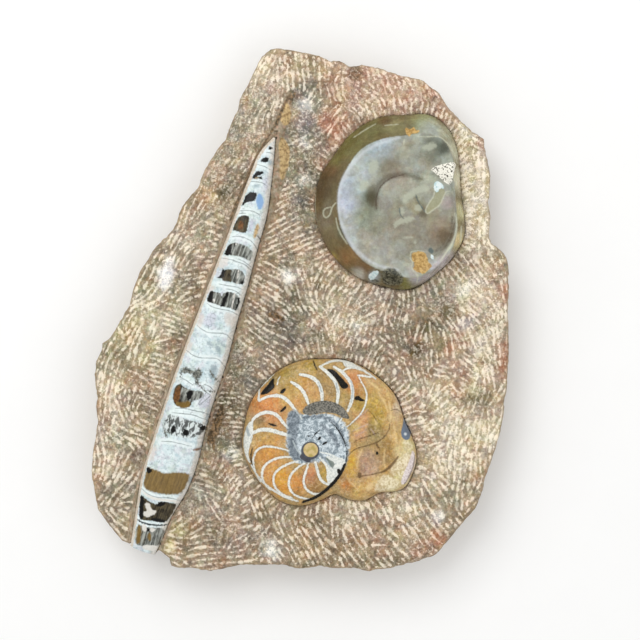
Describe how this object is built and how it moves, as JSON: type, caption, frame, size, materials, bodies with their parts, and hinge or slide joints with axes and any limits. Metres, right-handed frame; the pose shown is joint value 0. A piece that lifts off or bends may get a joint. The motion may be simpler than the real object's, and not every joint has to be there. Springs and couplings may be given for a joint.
{
  "type": "ammonite and orthoceras fossil plate",
  "caption": "Chiselled limestone slab lying on its flat back, with a polished orthoceras and polished ammonites standing out of its face.",
  "frame": {"origin": "middle of the slab's flat underside", "axes": "+Z out of the underside through the chiselled face, +Y along the slab to its narrow end, +X to the side of the ammonites"},
  "size_m": [0.208, 0.261, 0.0412],
  "materials": {
    "limestone": "chiselled, matt, cream tool marks over brown and grey ground",
    "banded_shell": "polished white calcite banded with black and brown",
    "grey_shell": "polished grey and olive brown, with ochre spots",
    "amber_shell": "polished ochre and orange calcite with white chamber walls"
  },
  "bodies": {
    "root": {"matrix_slab": "limestone", "orthoceras": "banded_shell", "upper_ammonite": "grey_shell", "lower_ammonite": "amber_shell"}
  },
  "joints": []
}
